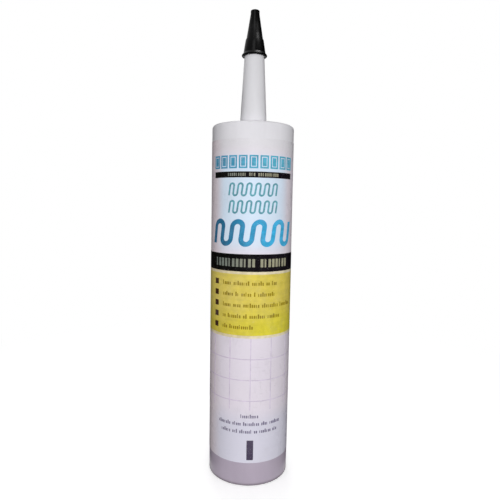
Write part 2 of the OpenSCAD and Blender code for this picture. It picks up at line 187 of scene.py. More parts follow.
def remapped(tree, value, low, high, to_low=0.0, to_high=1.0, ease="SMOOTHSTEP"):
    """A value taken from one range to another and held at its ends."""
    made = tree.nodes.new("ShaderNodeMapRange")
    made.interpolation_type = ease
    fed(tree, [made.inputs[label] for label in ("Value", "From Min", "From Max", "To Min", "To Max")],
        (value, low, high, to_low, to_high))
    return made.outputs["Result"]


def mixed(tree, share, a, b):
    """Two colours mixed by a share."""
    made = tree.nodes.new("ShaderNodeMix")
    made.data_type = "RGBA"
    fed(tree, (made.inputs[0], made.inputs[6], made.inputs[7]), (share, a, b))
    return made.outputs[2]


def scaled(tree, colour, factor):
    """A colour made lighter or darker by a factor."""
    made = tree.nodes.new("ShaderNodeVectorMath")
    made.operation = "SCALE"
    fed(tree, (made.inputs[0], made.inputs["Scale"]), (colour, factor))
    return made.outputs[0]


def noise(tree, scale, stretch=(1, 1, 1), detail=3.0, roughness=0.5, place=(0, 0, 0)):
    """Noise in the object's own space, drawn out or squeezed along its axes."""
    coordinates = tree.nodes.new("ShaderNodeTexCoord")
    mapping = tree.nodes.new("ShaderNodeMapping")
    mapping.inputs["Scale"].default_value = stretch
    mapping.inputs["Location"].default_value = place
    made = tree.nodes.new("ShaderNodeTexNoise")
    made.inputs["Scale"].default_value = scale
    made.inputs["Detail"].default_value = detail
    made.inputs["Roughness"].default_value = roughness
    tree.links.new(coordinates.outputs["Object"], mapping.inputs["Vector"])
    tree.links.new(mapping.outputs["Vector"], made.inputs["Vector"])
    return made.outputs["Fac"]


def zone(tree, axis, low, high):
    """A share that goes from 0 to 1 between two places along one of the object's own axes."""
    coordinates = tree.nodes.new("ShaderNodeTexCoord")
    split = tree.nodes.new("ShaderNodeSeparateXYZ")
    tree.links.new(coordinates.outputs["Object"], split.inputs[0])
    return remapped(tree, split.outputs[axis], low, high)


def bumped(tree, shader, height, distance):
    """A bump on the shader from a height, with a real distance in metres."""
    bump = tree.nodes.new("ShaderNodeBump")
    bump.inputs["Distance"].default_value = distance
    tree.links.new(height, bump.inputs["Height"])
    tree.links.new(bump.outputs["Normal"], shader.inputs["Normal"])


# Handling marks: thin lines along and across a piece, gathered in patches, and a dull haze between them.
handling, handling_in, handling_out = effect(
    "handling_marks", {"Lines": 0.5, "Haze": 0.5}, {"Mask": "Float", "Height": "Float"})
along = remapped(handling, noise(handling, 260, stretch=(9, 9, 0.5), detail=4), 0.635, 0.67)
across = noise(handling, 300, stretch=(0.7, 0.7, 9), detail=4, place=(3, 1, 2))
across = remapped(handling, across, 0.64, 0.68)
patches = remapped(handling, noise(handling, 55, place=(0, 5, 1)), 0.45, 0.7)
scratches = number(handling, "MULTIPLY", number(handling, "MAXIMUM", along, across), patches)
scratches = number(handling, "MULTIPLY", scratches, handling_in.outputs["Lines"])
haze = remapped(handling, noise(handling, 140, detail=6, place=(7, 0, 0)), 0.4, 0.75)
haze = number(handling, "MULTIPLY", haze, handling_in.outputs["Haze"])
handling.links.new(number(handling, "ADD", scratches, haze, clamp=True), handling_out.inputs["Mask"])
handling.links.new(number(handling, "MULTIPLY", scratches, -1.0), handling_out.inputs["Height"])

# Moulded skin: cloudy flow in the plastic and the fine matt texture that the mould leaves.
skin, skin_in, skin_out = effect(
    "moulded_skin", {"Color": (0.8, 0.8, 0.8, 1), "Flow": 0.06}, {"Color": "Color", "Height": "Float"})
flow = noise(skin, 45, stretch=(1, 1, 0.25), detail=5, roughness=0.6)
flow = remapped(skin, flow, 0.3, 0.7, to_low=-1, to_high=1)
flow = number(skin, "MULTIPLY_ADD", flow, skin_in.outputs["Flow"], 1.0)
skin.links.new(scaled(skin, skin_in.outputs["Color"], flow), skin_out.inputs["Color"])
skin.links.new(noise(skin, 2200, detail=2), skin_out.inputs["Height"])


def roughened(tree, shader, marks, smooth, rough):
    """Takes the shader's roughness from a smooth value to a rough one under the handling marks."""
    gloss = remapped(tree, marks.outputs["Mask"], 0, 1, to_low=smooth, to_high=rough, ease="LINEAR")
    tree.links.new(gloss, shader.inputs["Roughness"])


def handled(tree, shader, colour, marks, share, mark_colour, smooth, rough):
    """Lays the handling marks on a colour by a share, and makes the shader rougher where they are."""
    share = number(tree, "MULTIPLY", marks.outputs["Mask"], share)
    tree.links.new(mixed(tree, share, colour, mark_colour), shader.inputs["Base Color"])
    roughened(tree, shader, marks, smooth, rough)


filled_colour = (0.72, 0.71, 0.745, 1)
empty_shade_colour = (0.435, 0.375, 0.46, 1)
nozzle_colour = (0.665, 0.66, 0.685, 1)
rim_shade_colour = (0.22, 0.19, 0.225, 1)
scuffed_colour = (0.62, 0.6, 0.62, 1)
empty_shade_to_filled = (0.024, 0.04)
rim_shade_to_barrel = (0.0004, 0.0022)
barrel_to_nozzle = (shoulder_z, shoulder_z + 0.01)

polyethylene, tree, shader = material("natural_polyethylene")
# Painted shade: below the paste the wall is painted darker and more lilac, for the dark hollow behind it.
tone = mixed(tree, zone(tree, "Z", *empty_shade_to_filled), empty_shade_colour, filled_colour)
# Painted shade: the lowest two millimetres of the barrel are painted dark, a shadow line at the open end's rim.
tone = mixed(tree, zone(tree, "Z", *rim_shade_to_barrel), rim_shade_colour, tone)
tone = mixed(tree, zone(tree, "Z", *barrel_to_nozzle), tone, nozzle_colour)
plastic = placed(tree, skin, Flow=0.045)
tree.links.new(tone, plastic.inputs["Color"])
marks = placed(tree, handling, Lines=0.5, Haze=0.35)
handled(tree, shader, plastic.outputs["Color"], marks, share=0.18, mark_colour=scuffed_colour, smooth=0.32,
        rough=0.55)
bumped(tree, shader, plastic.outputs["Height"], distance=0.000012)
shader.inputs["Specular IOR Level"].default_value = 0.17

barrel.data.materials.append(polyethylene)
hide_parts("cartridge")
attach(barrel, "cartridge")

# The plunger is a thin moulded cup in the open end. Its two lips wipe the bore, a groove lets the front one
# spread, and eight gussets stiffen the skirt behind the face that the gun's ram pushes on.
plunger_low, plunger_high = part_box("plunger")
lip_r = plunger_high.x
plunger_z = plunger_low.z
plunger_len = 0.0192
plunger_wall = 0.0014
face_t = 0.0016
lip_h = 0.0016
lip_slope = 0.0024
lip_edge = 0.0004
lip_root_r = 0.0008
skirt_r = lip_r - 0.00072
skirt_edge_r = 0.0004
groove_w = 0.0016
groove_depth = 0.0016
groove_brow_r = 0.0004
groove_foot_r = 0.0003
gusset_n = 8
gusset_reach = 0.003
gusset_h = 0.009
gusset_t = 0.0012
gusset_root = plunger_wall / 2
skirt_in_r = skirt_r - plunger_wall
lip_top = plunger_z + plunger_len
groove_z = lip_top - groove_depth
face_z = groove_z + groove_depth / 2
face_under = groove_z - face_t

plunger = turned(
    "plunger_cup",
    [
        (0, face_z + head_rise),
        (seal_land_r, face_z + head_rise),
        (lip_r - groove_w, face_z),
        (lip_r - groove_w / 2, groove_z),
        (lip_r - lip_edge, lip_top),
        (lip_r, lip_top),
        (lip_r, lip_top - lip_h),
        (skirt_r, lip_top - lip_h - lip_slope),
        (skirt_r, plunger_z + lip_h + lip_slope),
        (lip_r, plunger_z + lip_h),
        (lip_r, plunger_z),
        (skirt_in_r, plunger_z),
        (skirt_in_r, face_under),
        (seal_land_r, face_under + head_rise),
        (0, face_under + head_rise),
    ],
    {2: groove_brow_r, 3: groove_foot_r, 7: lip_root_r, 8: lip_root_r, 10: rim_r, 11: skirt_edge_r,
     12: plunger_wall},
)
gussets = bmesh.new()
web = gussets.faces.new([gussets.verts.new((r, gusset_t / 2, z)) for r, z in (
    (skirt_in_r + gusset_root, face_under + gusset_root),
    (skirt_in_r - gusset_reach - gusset_root, face_under + gusset_root),
    (skirt_in_r - gusset_reach, face_under - gusset_root),
    (skirt_in_r, face_under - gusset_h),
    (skirt_in_r + gusset_root, face_under - gusset_h),
)])
bmesh.ops.solidify(gussets, geom=[web], thickness=gusset_t)
bmesh.ops.rotate(gussets, cent=(0, 0, 0), matrix=Matrix.Rotation(math.pi / gusset_n, 3, "Z"),
                 verts=gussets.verts[:])
bmesh.ops.spin(gussets, geom=gussets.verts[:] + gussets.edges[:] + gussets.faces[:], cent=(0, 0, 0),
               axis=(0, 0, 1), angle=math.tau * (gusset_n - 1) / gusset_n, steps=gusset_n - 1,
               use_duplicate=True)
bmesh.ops.recalc_face_normals(gussets, faces=gussets.faces)


def joined(bm, extra):
    """Adds one set of faces to another."""
    copy = bpy.data.meshes.new("copy")
    extra.to_mesh(copy)
    extra.free()
    bm.from_mesh(copy)
    bpy.data.meshes.remove(copy)


bm = bmesh.new()
bm.from_mesh(plunger.data)
joined(bm, gussets)
bm.to_mesh(plunger.data)
bm.free()

plunger_plastic, tree, shader = material("plunger_plastic")
plastic = placed(tree, skin, Color=(0.78, 0.78, 0.74, 1), Flow=0.05)
marks = placed(tree, handling, Lines=0.3, Haze=0.5)
tree.links.new(plastic.outputs["Color"], shader.inputs["Base Color"])
roughened(tree, shader, marks, smooth=0.42, rough=0.6)
bumped(tree, shader, plastic.outputs["Height"], distance=0.000015)
shader.inputs["Specular IOR Level"].default_value = 0.4

plunger.data.materials.append(plunger_plastic)
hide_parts("plunger")
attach(plunger, "plunger")

# The filling is white paste between the plunger and the head. It gets shorter as the plunger rises, and the
# foil that is welded over the foot of the nozzle keeps it in.
fill_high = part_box("sealant")[1]
fill_r = fill_high.x
fill_gap = 0.00005
fill_anchor_z = shoulder_z - head_t - fill_gap
foil_r = (nozzle_foot_r - nozzle_wall + seal_land_r) / 2
foil_room = 0.0002

filling = turned(
    "sealant_fill",
    [
        (0, fill_high.z - fill_gap - foil_room),
        (foil_r, fill_high.z - fill_gap - foil_room),
        (foil_r, fill_high.z),
        (seal_land_r, fill_high.z),
        (bearing_in_r, fill_anchor_z),
        (fill_r, fill_anchor_z),
        (fill_r, lip_top + fill_gap),
        (lip_r - groove_w, lip_top + fill_gap),
        (lip_r - groove_w, face_z + fill_gap),
        (seal_land_r, face_z + head_rise + fill_gap),
        (0, face_z + head_rise + fill_gap),
    ],
    {5: inner_corner_r},
)
paste, tree, shader = material("sealant_paste")
shader.inputs["Base Color"].default_value = (0.86, 0.84, 0.8, 1)
wet = remapped(tree, noise(tree, 90, detail=4), 0.3, 0.7, to_low=0.22, to_high=0.4)
tree.links.new(wet, shader.inputs["Roughness"])
bumped(tree, shader, noise(tree, 160, stretch=(1, 1, 3)), distance=0.0003)
filling.data.materials.append(paste)
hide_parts("sealant")
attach(filling, "cartridge")
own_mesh(filling)

foil, tree, shader = material("foil")
shader.inputs["Base Color"].default_value = (0.8, 0.8, 0.82, 1)
shader.inputs["Metallic"].default_value = 1.0
creased = remapped(tree, noise(tree, 400, detail=5), 0.3, 0.7, to_low=0.18, to_high=0.4)
tree.links.new(creased, shader.inputs["Roughness"])
bumped(tree, shader, noise(tree, 500, detail=2), distance=0.00008)
foil_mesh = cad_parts["foil_seal"].data
foil_mesh.materials.clear()
foil_mesh.materials.append(foil)

# The label is one turn of semi-gloss white film, wrapped tight round the barrel from a little above its open
# end. Its outer end laps over the start at the back, over a short ramp.
label_low, label_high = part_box("label")
film_t = label_high.x - barrel_r
lap_w = 0.007
lap_ramp = 0.0015
half_turn = math.pi * barrel_r
cut_step = 0.0013


def flat(bm, start, end, low, high, depth, thickness):
    """A flat block of film or ink: x is the way round the barrel from the front, y the depth on it."""
    size = Matrix.Diagonal((end - start, thickness, high - low, 1))
    centre = Matrix.Translation(((start + end) / 2, depth + thickness / 2, (low + high) / 2))
    bmesh.ops.create_cube(bm, size=1, matrix=centre @ size)


def wrapped(name, bm):
    """Cuts flat blocks across at even steps and bends them round the barrel, one layer up on the lap."""
    ways = [v.co.x for v in bm.verts]
    for k in range(math.ceil(min(ways) / cut_step), math.floor(max(ways) / cut_step) + 1):
        bmesh.ops.bisect_plane(bm, geom=bm.verts[:] + bm.edges[:] + bm.faces[:], dist=1e-7,
                               plane_co=(k * cut_step, 0, 0), plane_no=(1, 0, 0))
    for vert in bm.verts:
        way, depth, z = vert.co
        past_ramp = (way - (half_turn - lap_w / 2 - lap_ramp)) / lap_ramp
        lift = film_t * min(max(past_ramp, 0), 1)
        turn = way / barrel_r - math.pi / 2
        vert.co = Vector((math.cos(turn), math.sin(turn), 0)) * (barrel_r + depth + lift) + Vector((0, 0, z))
    return finished(name, bm)


bm = bmesh.new()
flat(bm, -half_turn - lap_w / 2, half_turn + lap_w / 2, label_low.z, label_high.z, 0, film_t)
label = wrapped("label_film", bm)

# The film's own two tones drift into each other. It is greyer at the top, bluer behind the heading, cooler at
# the foot and warmer and a little darker at its left, between the places that the last six pairs give. The darker
# left is partly painted shade on that side.
film_tones = ((0.74, 0.685, 0.765, 1), (0.76, 0.70, 0.765, 1))
top_tone = (0.71, 0.695, 0.73, 1)
heading_tone = (0.63, 0.775, 0.92, 1)
foot_tone = (0.63, 0.635, 0.75, 1)
# Partly painted shade: the left tone is warmer and a little darker than the film.
left_tint_and_shade = (0.73, 0.64, 0.68, 1)
dull_film = (0.6, 0.56, 0.6, 1)
top_edge = (0.195, 0.205)
heading_foot = (0.138, 0.15)
heading_top = (0.202, 0.188)
heading_front = (-0.012, -0.02)
foot_edge = (0.05, 0.036)
left_tint_and_shade_zone = (-0.016, -0.0235)

film, tree, shader = material("label_film")
clouds = remapped(tree, noise(tree, 28, stretch=(1, 1, 0.6), detail=2), 0.35, 0.65)
tint = mixed(tree, clouds, *film_tones)
tint = mixed(tree, zone(tree, "Z", *top_edge), tint, top_tone)
heading = number(tree, "MULTIPLY", zone(tree, "Z", *heading_foot), zone(tree, "Z", *heading_top))
heading = number(tree, "MULTIPLY", heading, zone(tree, "Y", *heading_front))
for where, most, part_tone in (
    (heading, 0.85, heading_tone),
    (zone(tree, "Z", *foot_edge), 0.7, foot_tone),
    (zone(tree, "X", *left_tint_and_shade_zone), 0.85, left_tint_and_shade),
):
    tint = mixed(tree, number(tree, "MULTIPLY", where, most), tint, part_tone)
marks = placed(tree, handling, Lines=0.8, Haze=0.6)
handled(tree, shader, tint, marks, share=0.15, mark_colour=dull_film, smooth=0.26, rough=0.5)
ripple = noise(tree, 60, stretch=(1, 1, 0.25), detail=2)
bumped(tree, shader, number(tree, "ADD", ripple, marks.outputs["Height"]), distance=0.0001)
shader.inputs["Specular IOR Level"].default_value = 0.18
label.data.materials.append(film)
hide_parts("label")
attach(label, "cartridge")

# The inks are fields of colour on the film: bands and rules all the way round, a tile row and drawn beads of
# sealant for the headings, and small bars where the real print has lines of words. Marks on a band or on the
# panel are a second layer of ink over it.
ink_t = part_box("print_yellow")[1].x - label_high.x
print_shift = 0.0007
row_half_w = 0.0273
mark_round = 0.00012
narrow_mark = 0.4
wide_mark = 0.66
tall_mark = 1.45
left_to_right = (-0.022, 0.016)
bare_film = (0.74, 0.7, 0.76, 1)
dull_ink = (0.55, 0.52, 0.55, 1)

# Printed ink: small swings in its density, thin streaks round the tube and pinholes that show the film.
print_effect, print_in, print_out = effect(
    "printed_ink", {"Color": (0.5, 0.5, 0.5, 1), "Density": 0.12}, {"Color": "Color", "Height": "Float"})
density = remapped(print_effect, noise(print_effect, 330, detail=4), 0.3, 0.7, to_low=-1, to_high=1)
streaks = noise(print_effect, 700, stretch=(0.06, 0.06, 1), detail=2)
streaks = remapped(print_effect, streaks, 0.3, 0.7, to_low=-1, to_high=1)
density = number(print_effect, "MULTIPLY_ADD", streaks, 0.5, density)
density = number(print_effect, "MULTIPLY_ADD", density, print_in.outputs["Density"], 1.0)
ink = scaled(print_effect, print_in.outputs["Color"], density)
pinholes = remapped(print_effect, noise(print_effect, 2600, detail=1), 0.73, 0.77)
pinholes = number(print_effect, "MULTIPLY", pinholes, 0.5)
print_effect.links.new(mixed(print_effect, pinholes, ink, bare_film), print_out.inputs["Color"])
print_effect.links.new(noise(print_effect, 1500, detail=2), print_out.inputs["Height"])


def sideways(tree, left, right):
    """A colour that goes from one tone to another across the front."""
    return mixed(tree, zone(tree, "X", *left_to_right), left, right)


def printed(node, slot, bm, tones, density=0.1, upper=None, gloss=0.14, wear=0.12):
    """One ink: its fields wrapped on the film, its material, and what it stands for in the frame. Its tones are
    those at its left and right. The upper part may have its own pair, given after the heights it starts at."""
    piece = wrapped(node, bm)
    made, tree, shader = material(slot)
    layer = placed(tree, print_effect, Density=density)
    tone = sideways(tree, *tones)
    if upper:
        low, high, upper_tones = upper
        tone = mixed(tree, zone(tree, "Z", low, high), tone, sideways(tree, *upper_tones))
    tree.links.new(tone, layer.inputs["Color"])
    marks = placed(tree, handling, Lines=0.8, Haze=0.5)
    handled(tree, shader, layer.outputs["Color"], marks, share=wear, mark_colour=dull_ink, smooth=0.28, rough=0.5)
    bumped(tree, shader, layer.outputs["Height"], distance=0.000015)
    shader.inputs["Specular IOR Level"].default_value = gloss
    piece.data.materials.append(made)
    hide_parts(node)
    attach(piece, "cartridge")


def field(bm, start, end, low, high, layer=0):
    """A rectangle of ink at the front, in the lower or the upper layer."""
    flat(bm, print_shift + start, print_shift + end, low, high, film_t + layer * ink_t, ink_t)


def ring(bm, low, high):
    """A band of ink round the whole label, from one side of the lap to the other."""
    flat(bm, -half_turn + lap_w / 2, half_turn + lap_w / 2, low, high, film_t, ink_t)


def word_row(bm, start, low, height, pitch, words, layer=0, tall=1.0):
    """Bars that stand for words. The list says how many bars each word has."""
    place = start
    for k, count in enumerate(words):
        for i in range(count):
            width = pitch * (narrow_mark if (i * 3 + k) % 4 == 0 else wide_mark)
            rise = height * (tall if (i * 2 + k * 3 + count) % 5 == 0 else 1)
            field(bm, place + i * pitch, place + i * pitch + width, low, low + rise, layer)
        place += (count + 1) * pitch


def row_width(words, pitch):
    """Length of a row of bars."""
    return pitch * (sum(words) + len(words) - 1)


def rounded_bars(bm):
    """Rounds the upright corners of all blocks, as small print is."""
    upright = [e for e in bm.edges if abs(e.verts[0].co.y - e.verts[1].co.y) > ink_t / 2]
    bmesh.ops.bevel(bm, geom=upright, offset=mark_round, offset_type="OFFSET", affect="EDGES", segments=2,
                    profile=0.5, material=-1)


# The black ink is a broad band that goes round the label's middle, and a thin stripe at the front, under the
# tiles. It is the densest ink and has the least gloss.
band_low, stripe_high = (corner.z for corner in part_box("print_black"))
band_h = 0.0102
stripe_h = 0.0034
black_tones = ((0.004, 0.004, 0.003, 1), (0.006, 0.004, 0.007, 1))
bm = bmesh.new()
ring(bm, band_low, band_low + band_h)
field(bm, -row_half_w, row_half_w, stripe_high - stripe_h, stripe_high)
printed("print_black", "ink_black", bm, black_tones, density=0.25, gloss=0.06, wear=0.02)

# The yellow ink is one broad panel below the band, and goes all the way round. It is a little paler above its
# foot.
panel_low, panel_high = (corner.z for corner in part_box("print_yellow"))
panel_tones = ((0.63, 0.52, 0.06, 1), (0.69, 0.61, 0.05, 1))
panel_upper = (panel_low + 0.003, panel_low + 0.022, ((0.68, 0.55, 0.112, 1), (0.69, 0.565, 0.09, 1)))
bm = bmesh.new()
ring(bm, panel_low, panel_high)
printed("print_yellow", "ink_yellow", bm, panel_tones, density=0.06, upper=panel_upper)

# The cream ink is the rules above and below the panel, and the words on the black band and stripe, where it
# is dimmer because the black shows through.
rule_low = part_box("print_cream")[0].z
band_words = (11, 8)
band_pitch = 0.00242
band_mark_h = 0.0048
stripe_words = (9, 3, 10)
stripe_pitch = 0.0013
stripe_mark_h = 0.0018
rule_tones = ((0.70, 0.60, 0.38, 1), (0.74, 0.66, 0.45, 1))
on_black = (band_low + 0.0005, band_low + 0.001, ((0.15, 0.175, 0.155, 1), (0.34, 0.325, 0.22, 1)))
bm = bmesh.new()
word_row(bm, -row_width(band_words, band_pitch) / 2, band_low + (band_h - band_mark_h) / 2, band_mark_h,
         band_pitch, band_words, layer=1)
word_row(bm, -row_width(stripe_words, stripe_pitch) / 2, stripe_high - (stripe_h + stripe_mark_h) / 2,
         stripe_mark_h, stripe_pitch, stripe_words, layer=1)
rounded_bars(bm)
ring(bm, panel_high, band_low)
ring(bm, rule_low, panel_low)
printed("print_cream", "ink_cream", bm, rule_tones, upper=on_black)

# On the yellow panel are five lines of olive words, each with a brown square before it. Both inks are printed
# over the yellow.
line_words = ((5, 8, 6, 2, 3), (6, 2, 5, 1, 9), (5, 4, 8, 9, 8), (2, 7, 2, 8, 7), (3, 12))
line_pitch = 0.0065
first_line = 0.0052
line_left = 0.0182
line_mark_h = 0.00175
line_mark_pitch = 0.00122
bullet = 0.0033
bullet_left = 0.0254
brown = (0.055, 0.022, 0.008, 1)
olive_tones = ((0.27, 0.19, 0.008, 1), (0.3, 0.22, 0.008, 1))
bullets = bmesh.new()
lines = bmesh.new()
for i, words in enumerate(line_words):
    line_z = panel_high - first_line - i * line_pitch
    field(bullets, -bullet_left, -bullet_left + bullet, line_z - bullet / 2, line_z + bullet / 2, layer=1)
    word_row(lines, -line_left, line_z - line_mark_h * tall_mark / 2, line_mark_h, line_mark_pitch, words,
             layer=1, tall=tall_mark)
rounded_bars(bullets)
rounded_bars(lines)
printed("print_brown", "ink_brown", bullets, (brown, brown))
printed("print_olive", "ink_olive", lines, olive_tones)

# The teal ink is two rows of a thin drawn bead, which stand above the large one for the two smaller lines of
# the heading.
bead_slant = math.radians(8)
bead_lift = 0.00005
fine_h = 0.008
fine_pitch = 0.0026
fine_w = 0.0011
fine_turns = 11
fine_steps = 10
teal_tones = ((0.10, 0.30, 0.36, 1), (0.13, 0.37, 0.45, 1))


def bead(bm, low, pitch, height, width, turns, steps):
    """A drawn bead of sealant: a ribbon that goes up and down in legs with round bends. Returns the height of
    its middle."""
    bend = pitch / 2
    middle = low + height / 2
    leg = height / 2 - bend - width / 2
    left = print_shift - pitch * turns / 2
    ends = [bm.verts.new((left + side * width / 2, film_t + bead_lift, middle - leg - bend)) for side in (-1, 1)]
    edge = bm.edges.new(ends)
    for i in range(turns):
        up = 1 if i % 2 == 0 else -1
        grown = bmesh.ops.extrude_edge_only(bm, edges=[edge])["geom"]
        verts = [v for v in grown if isinstance(v, bmesh.types.BMVert)]
        edge = next(e for e in grown if isinstance(e, bmesh.types.BMEdge) and all(v in verts for v in e.verts))
        bmesh.ops.translate(bm, verts=verts, vec=(0, 0, middle + up * leg - verts[0].co.z))
        spun = bmesh.ops.spin(bm, geom=verts + [edge], cent=(left + pitch * (i + 0.5), 0, middle + up * leg),
                              axis=(0, 1, 0), angle=up * math.pi, steps=steps)["geom_last"]
        edge = next(e for e in spun if isinstance(e, bmesh.types.BMEdge))
    grown = bmesh.ops.extrude_edge_only(bm, edges=[edge])["geom"]
    verts = [v for v in grown if isinstance(v, bmesh.types.BMVert)]
    up = 1 if turns % 2 == 0 else -1
    bmesh.ops.translate(bm, verts=verts, vec=(0, 0, up * (leg * 2 + bend)))
    return middle


def leaned(bm, middle):
    """Leans a row about its middle height and gives its ribbon the thickness of ink."""
    for vert in bm.verts:
        vert.co.x += (vert.co.z - middle) * math.tan(bead_slant)
    bmesh.ops.recalc_face_normals(bm, faces=bm.faces)
    bmesh.ops.solidify(bm, geom=bm.faces[:], thickness=ink_t)


teal_low, teal_high = (corner.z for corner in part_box("print_teal"))
teal = bmesh.new()
for low in (teal_high - fine_h, teal_low):
    row = bmesh.new()
    leaned(row, bead(row, low, fine_pitch, fine_h, fine_w, fine_turns, fine_steps))
    joined(teal, row)
printed("print_teal", "ink_teal", teal, teal_tones, density=0.2)

# The blue ink is the large bead over the band, and at the top of the print a row of tiles, each a frame with a
# core in it.
bold_h = 0.016
bold_pitch = 0.0064
bold_w = 0.0029
bold_turns = 8
bold_steps = 16
tile_n = 9
tile_h = 0.0075
tile_gap = 0.0011
tile_frame = 0.0013
tile_w = (2 * row_half_w - (tile_n - 1) * tile_gap) / tile_n
core_gap = (tile_w - 2 * tile_frame) / 4
blue_low, blue_high = (corner.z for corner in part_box("print_blue"))
bead_tones = ((0.021, 0.14, 0.27, 1), (0.048, 0.40, 0.685, 1))
tile_tones = (blue_low + bold_h, blue_high - tile_h, ((0.062, 0.29, 0.46, 1), (0.09, 0.41, 0.565, 1)))
blue = bmesh.new()
leaned(blue, bead(blue, blue_low, bold_pitch, bold_h, bold_w, bold_turns, bold_steps))
tiles = bmesh.new()
for i in range(tile_n):
    left = print_shift - row_half_w + i * (tile_w + tile_gap)
    place = Matrix.Translation((left + tile_w / 2, film_t, blue_high - tile_h / 2))
    place = place @ Matrix.Diagonal((tile_w, 1, tile_h, 1)) @ Matrix.Rotation(math.pi / 2, 4, "X")
    bmesh.ops.create_grid(tiles, x_segments=1, y_segments=1, size=0.5, matrix=place)
outer = tiles.faces[:]
bmesh.ops.inset_individual(tiles, faces=outer, thickness=tile_frame)
gaps = bmesh.ops.inset_individual(tiles, faces=outer, thickness=core_gap)["faces"]
bmesh.ops.delete(tiles, geom=gaps, context="FACES_ONLY")
bmesh.ops.split_edges(tiles, edges=[e for e in tiles.edges if not e.link_faces])
bmesh.ops.solidify(tiles, geom=tiles.faces[:], thickness=ink_t)
joined(blue, tiles)
printed("print_blue", "ink_blue", blue, bead_tones, density=0.12, upper=tile_tones)

# The slate ink is the small print at the label's foot: three rows of words, and one upright bar below them,
# which is darker.
bar_h = 0.0122
bar_w = 0.004
bar_offset = 0.0004
bar_gap = 0.0019
small_gap = 0.0044
small_pitch = 0.0047
small_mark_h = 0.0016
small_mark_pitch = 0.0011
small_words = ((6, 3, 7, 2, 7, 3), (8, 5, 9, 4, 7), (10,))
bar_z = label_low.z + bar_gap
small_z = bar_z + bar_h + small_gap
bar_tone = (0.06, 0.045, 0.085, 1)
small_tones = (bar_z + bar_h, small_z, ((0.20, 0.18, 0.25, 1), (0.17, 0.15, 0.24, 1)))
bm = bmesh.new()
field(bm, bar_offset - bar_w / 2, bar_offset + bar_w / 2, bar_z, bar_z + bar_h)
for i, words in enumerate(small_words):
    word_row(bm, -row_width(words, small_mark_pitch) / 2, small_z + i * small_pitch, small_mark_h,
             small_mark_pitch, words, tall=tall_mark)
rounded_bars(bm)
printed("print_slate", "ink_slate", bm, (bar_tone, bar_tone), upper=small_tones)

# A pale grid of thin lines fills the film between the small print and the cream rule. Its upright lines stop
# short of the lap.
grid_pitch = 0.0127
grid_line_w = 0.00055
grid_tones = ((0.62, 0.53, 0.66, 1), (0.64, 0.57, 0.69, 1))
grid_foot_z = small_z + len(small_words) * small_pitch
side_n = int((half_turn - lap_w / 2 - grid_line_w) / grid_pitch)
bm = bmesh.new()
for k in range(-side_n, side_n + 1):
    field(bm, k * grid_pitch - grid_line_w / 2, k * grid_pitch + grid_line_w / 2, grid_foot_z, rule_low)
for k in range(1, int((rule_low - grid_foot_z) / grid_pitch) + 1):
    ring(bm, rule_low - k * grid_pitch - grid_line_w / 2, rule_low - k * grid_pitch + grid_line_w / 2)
printed("print_grid", "ink_grid", bm, grid_tones, density=0.08)

# The cap is a thin black moulding that is pushed on the nozzle's tip. A thicker collar with a flared rim gives
# the fingers a grip, and a step leads from the collar to the upper cone.
cap_low, cap_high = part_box("nozzle_cap")
flare_r = cap_high.x
cap_gap = 0.00015
cap_wall = 0.00115
grip_wall = 0.0015
grip_len = 0.0092
grip_step_h = 0.0009
flare_t = 0.0013
flare_fillet_r = 0.0013
flare_turn = 45
cap_end_r = 0.0006
cap_in_z = tip_z + 0.0005
arc_steps = 10


def tip_r(z):
    """Radius of the nozzle's thin tip at a height."""
    foot = seat_z + seat_step
    return seat_r - seat_step + (tip_end_r - seat_r + seat_step) * (z - foot) / (tip_z - foot)


def arc(r, z, size, start, end):
    """Points along an arc in a section, by its centre, its radius and two angles in degrees."""
    turns = [math.radians(start + (end - start) * k / arc_steps) for k in range(arc_steps + 1)]
    return [(r + size * math.cos(turn), z + size * math.sin(turn)) for turn in turns]


cap_top_r = tip_end_r + cap_gap + cap_wall
grip_z = seat_z + grip_len
edge_r = flare_t / 2
collar_z = cap_low.z + flare_t + flare_fillet_r
collar_r = tip_r(collar_z) + cap_gap + grip_wall
cap = turned(
    "push_on_cap",
    [
        (0, cap_high.z),
        *reversed(arc(cap_top_r - cap_end_r, cap_high.z - cap_end_r, cap_end_r, 0, 90)),
        (cap_top_r, tip_z),
        (tip_r(grip_z + grip_step_h) + cap_gap + cap_wall, grip_z + grip_step_h),
        (tip_r(grip_z) + cap_gap + grip_wall, grip_z),
        *reversed(arc(collar_r + flare_fillet_r, collar_z, flare_fillet_r, 180 + flare_turn, 180)),
        *reversed(arc(flare_r - edge_r, cap_low.z + edge_r, edge_r, -90, flare_turn)),
        (seat_r + cap_gap, cap_low.z),
        (seat_r + cap_gap, seat_z + cap_gap),
        (seat_r - seat_step + cap_gap, seat_z + seat_step + cap_gap),
        (tip_end_r + cap_gap, tip_z),
        (tip_end_r + cap_gap, cap_in_z),
        (0, cap_in_z),
    ],
    {},
)
cap_colour = (0.0012, 0.0012, 0.0013, 1)
dull_cap = (0.1, 0.1, 0.105, 1)
cap_black, tree, shader = material("cap_black")
marks = placed(tree, handling, Lines=0.9, Haze=0.8)
handled(tree, shader, cap_colour, marks, share=0.03, mark_colour=dull_cap, smooth=0.22, rough=0.32)
bumped(tree, shader, noise(tree, 900, stretch=(1, 1, 0.4)), distance=0.00001)
shader.inputs["Specular IOR Level"].default_value = 0.06
cap.data.materials.append(cap_black)
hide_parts("nozzle_cap")
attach(cap, "cap")

# The floor is plain white paper. Near the tube it takes the shadow, and further out it is only bright, so that
# it runs into the white background. It lights the tube evenly from below, most of all within the open end, and
# it can be seen through from below.
floor_half_w = 3
paper_colour = (0.9, 0.9, 0.9, 1)
paper_lift = 0.42
shadow_to_white = (0.12, 0.4)
within_mouth = (mouth_r - rim_r, mouth_r)
mouth_glow = 1.5
floor_glow = 0.2


